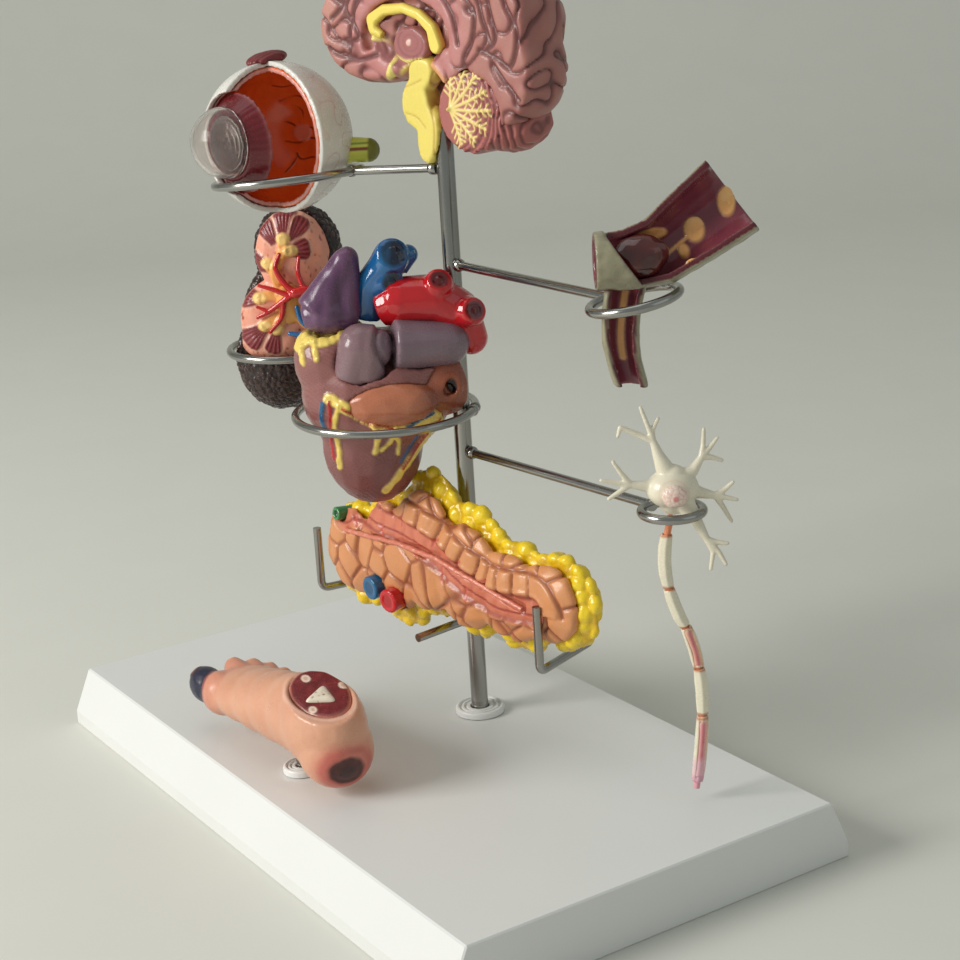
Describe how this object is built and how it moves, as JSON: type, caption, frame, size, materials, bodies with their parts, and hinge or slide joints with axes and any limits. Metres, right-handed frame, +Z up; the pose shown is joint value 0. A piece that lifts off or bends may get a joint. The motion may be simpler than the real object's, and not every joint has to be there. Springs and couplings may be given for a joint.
{
  "type": "desk stand of organ models",
  "caption": "White board with a steel post whose rings, arms and peg carry small brain, eye, kidney, heart, pancreas, artery, neuron and foot models that lift off or turn.",
  "frame": {"origin": "centre of the board's underside, which rests on the table", "axes": "+X along the board's long side, +Y across it towards the post's side, +Z up; the foot and the eye's cornea face -Y"},
  "size_m": [0.27, 0.152, 0.2879],
  "materials": {
    "polished_steel": "polished rod and wire",
    "zinc_screw": "zinc plated",
    "white_board": "satin",
    "white_plastic": "satin",
    "brain_stem_cream": "satin paint",
    "callosum_yellow": "satin paint",
    "cortex_pink": "satin paint",
    "cerebellum_pink": "satin paint",
    "thalamus_mauve": "satin paint",
    "sclera_white": "satin",
    "choroid_orange": "gloss paint",
    "maroon": "satin paint",
    "clear_resin": "clear",
    "nerve_lime": "satin paint",
    "capsule_brown": "pebbled, satin",
    "cortex_salmon": "satin paint",
    "pelvis_amber": "satin paint",
    "artery_red": "gloss paint",
    "vein_blue": "gloss paint",
    "ventricle_mauve": "satin paint",
    "trunk_grey_mauve": "satin paint",
    "tan_tissue": "satin paint",
    "auricle_purple": "satin paint",
    "fat_yellow": "nodular, satin paint",
    "duct_coral": "satin paint",
    "bile_green": "gloss paint",
    "artery_olive": "satin paint",
    "clot_brown": "gloss paint",
    "plaque_cream": "satin paint",
    "neuron_cream": "satin paint",
    "nucleus_pink": "satin paint",
    "foot_skin": "satin paint"
  },
  "bodies": {
    "stand": {"base_board": "white_board", "post_collar": "white_plastic", "post": "polished_steel", "post_screw": "zinc_screw", "eye_ring_arm": "polished_steel", "kidney_ring_arm": "polished_steel", "heart_ring": "polished_steel", "artery_ring_arm": "polished_steel", "neuron_ring_arm": "polished_steel", "pancreas_cradle_left": "polished_steel", "pancreas_cradle_right": "polished_steel", "pancreas_cradle_stub": "polished_steel", "foot_collar": "white_plastic", "foot_peg": "polished_steel", "foot_screw": "zinc_screw"},
    "brain": {"brain_cerebrum": "cortex_pink", "brain_cerebellum": "cerebellum_pink", "brain_stem": "brain_stem_cream", "corpus_callosum": "callosum_yellow", "brain_thalamus": "thalamus_mauve"},
    "eye": {"eye_sclera": "sclera_white", "eye_choroid": "choroid_orange", "eye_iris": "maroon", "eye_lens": "clear_resin", "eye_cornea": "clear_resin", "optic_nerve": "nerve_lime", "eye_muscle": "maroon"},
    "kidney": {"kidney_capsule": "capsule_brown", "kidney_section": "cortex_salmon", "renal_pelvis_ureter": "pelvis_amber", "renal_artery": "artery_red", "renal_vein": "vein_blue"},
    "heart": {"heart_ventricles": "ventricle_mauve", "pulmonary_trunk": "trunk_grey_mauve", "right_atrium": "tan_tissue", "left_auricle": "auricle_purple", "aortic_arch": "artery_red", "vena_cava": "vein_blue"},
    "pancreas": {"pancreas_body": "tan_tissue", "pancreas_fat_border": "fat_yellow", "pancreatic_duct": "duct_coral", "splenic_vein_stub": "vein_blue", "splenic_artery_stub": "artery_red", "bile_duct_stub": "bile_green"},
    "artery": {"artery_wall": "artery_olive", "artery_clot": "clot_brown", "artery_plaque": "plaque_cream"},
    "neuron": {"neuron_cell_body": "neuron_cream", "neuron_nucleus": "nucleus_pink", "neuron_axon": "nucleus_pink", "myelin_sheath_1": "neuron_cream", "myelin_sheath_2": "neuron_cream", "myelin_sheath_3": "neuron_cream", "myelin_sheath_4": "neuron_cream", "myelin_sheath_5": "neuron_cream"},
    "foot": {"foot_body": "foot_skin", "ankle_section": "maroon", "ankle_bone": "neuron_cream"}
  },
  "joints": [
    {"name": "brain_lift", "type": "slide", "parent": "stand", "child": "brain", "axis": [0, 0, 1], "range_m": [0, 0.05]},
    {"name": "eye_lift", "type": "slide", "parent": "stand", "child": "eye", "axis": [0.034, -0.3399, 0.9398], "range_m": [0, 0.04]},
    {"name": "kidney_lift", "type": "slide", "parent": "stand", "child": "kidney", "axis": [0, 0, 1], "range_m": [0, 0.03]},
    {"name": "heart_lift", "type": "slide", "parent": "stand", "child": "heart", "axis": [0.2605, -0.1663, 0.951], "range_m": [0, 0.045]},
    {"name": "pancreas_lift", "type": "slide", "parent": "stand", "child": "pancreas", "axis": [0, 0, 1], "range_m": [0, 0.002]},
    {"name": "artery_lift", "type": "slide", "parent": "stand", "child": "artery", "axis": [0, 0, 1], "range_m": [0, 0.04]},
    {"name": "neuron_turn", "type": "hinge", "parent": "stand", "child": "neuron", "pos_m": [0.103, 0.034, 0.1183], "axis": [0, 0, 1], "range_deg": [-120, 120]},
    {"name": "foot_turn", "type": "hinge", "parent": "stand", "child": "foot", "pos_m": [0.003, -0.049, 0.03], "axis": [0, 0, 1], "continuous": true}
  ]
}
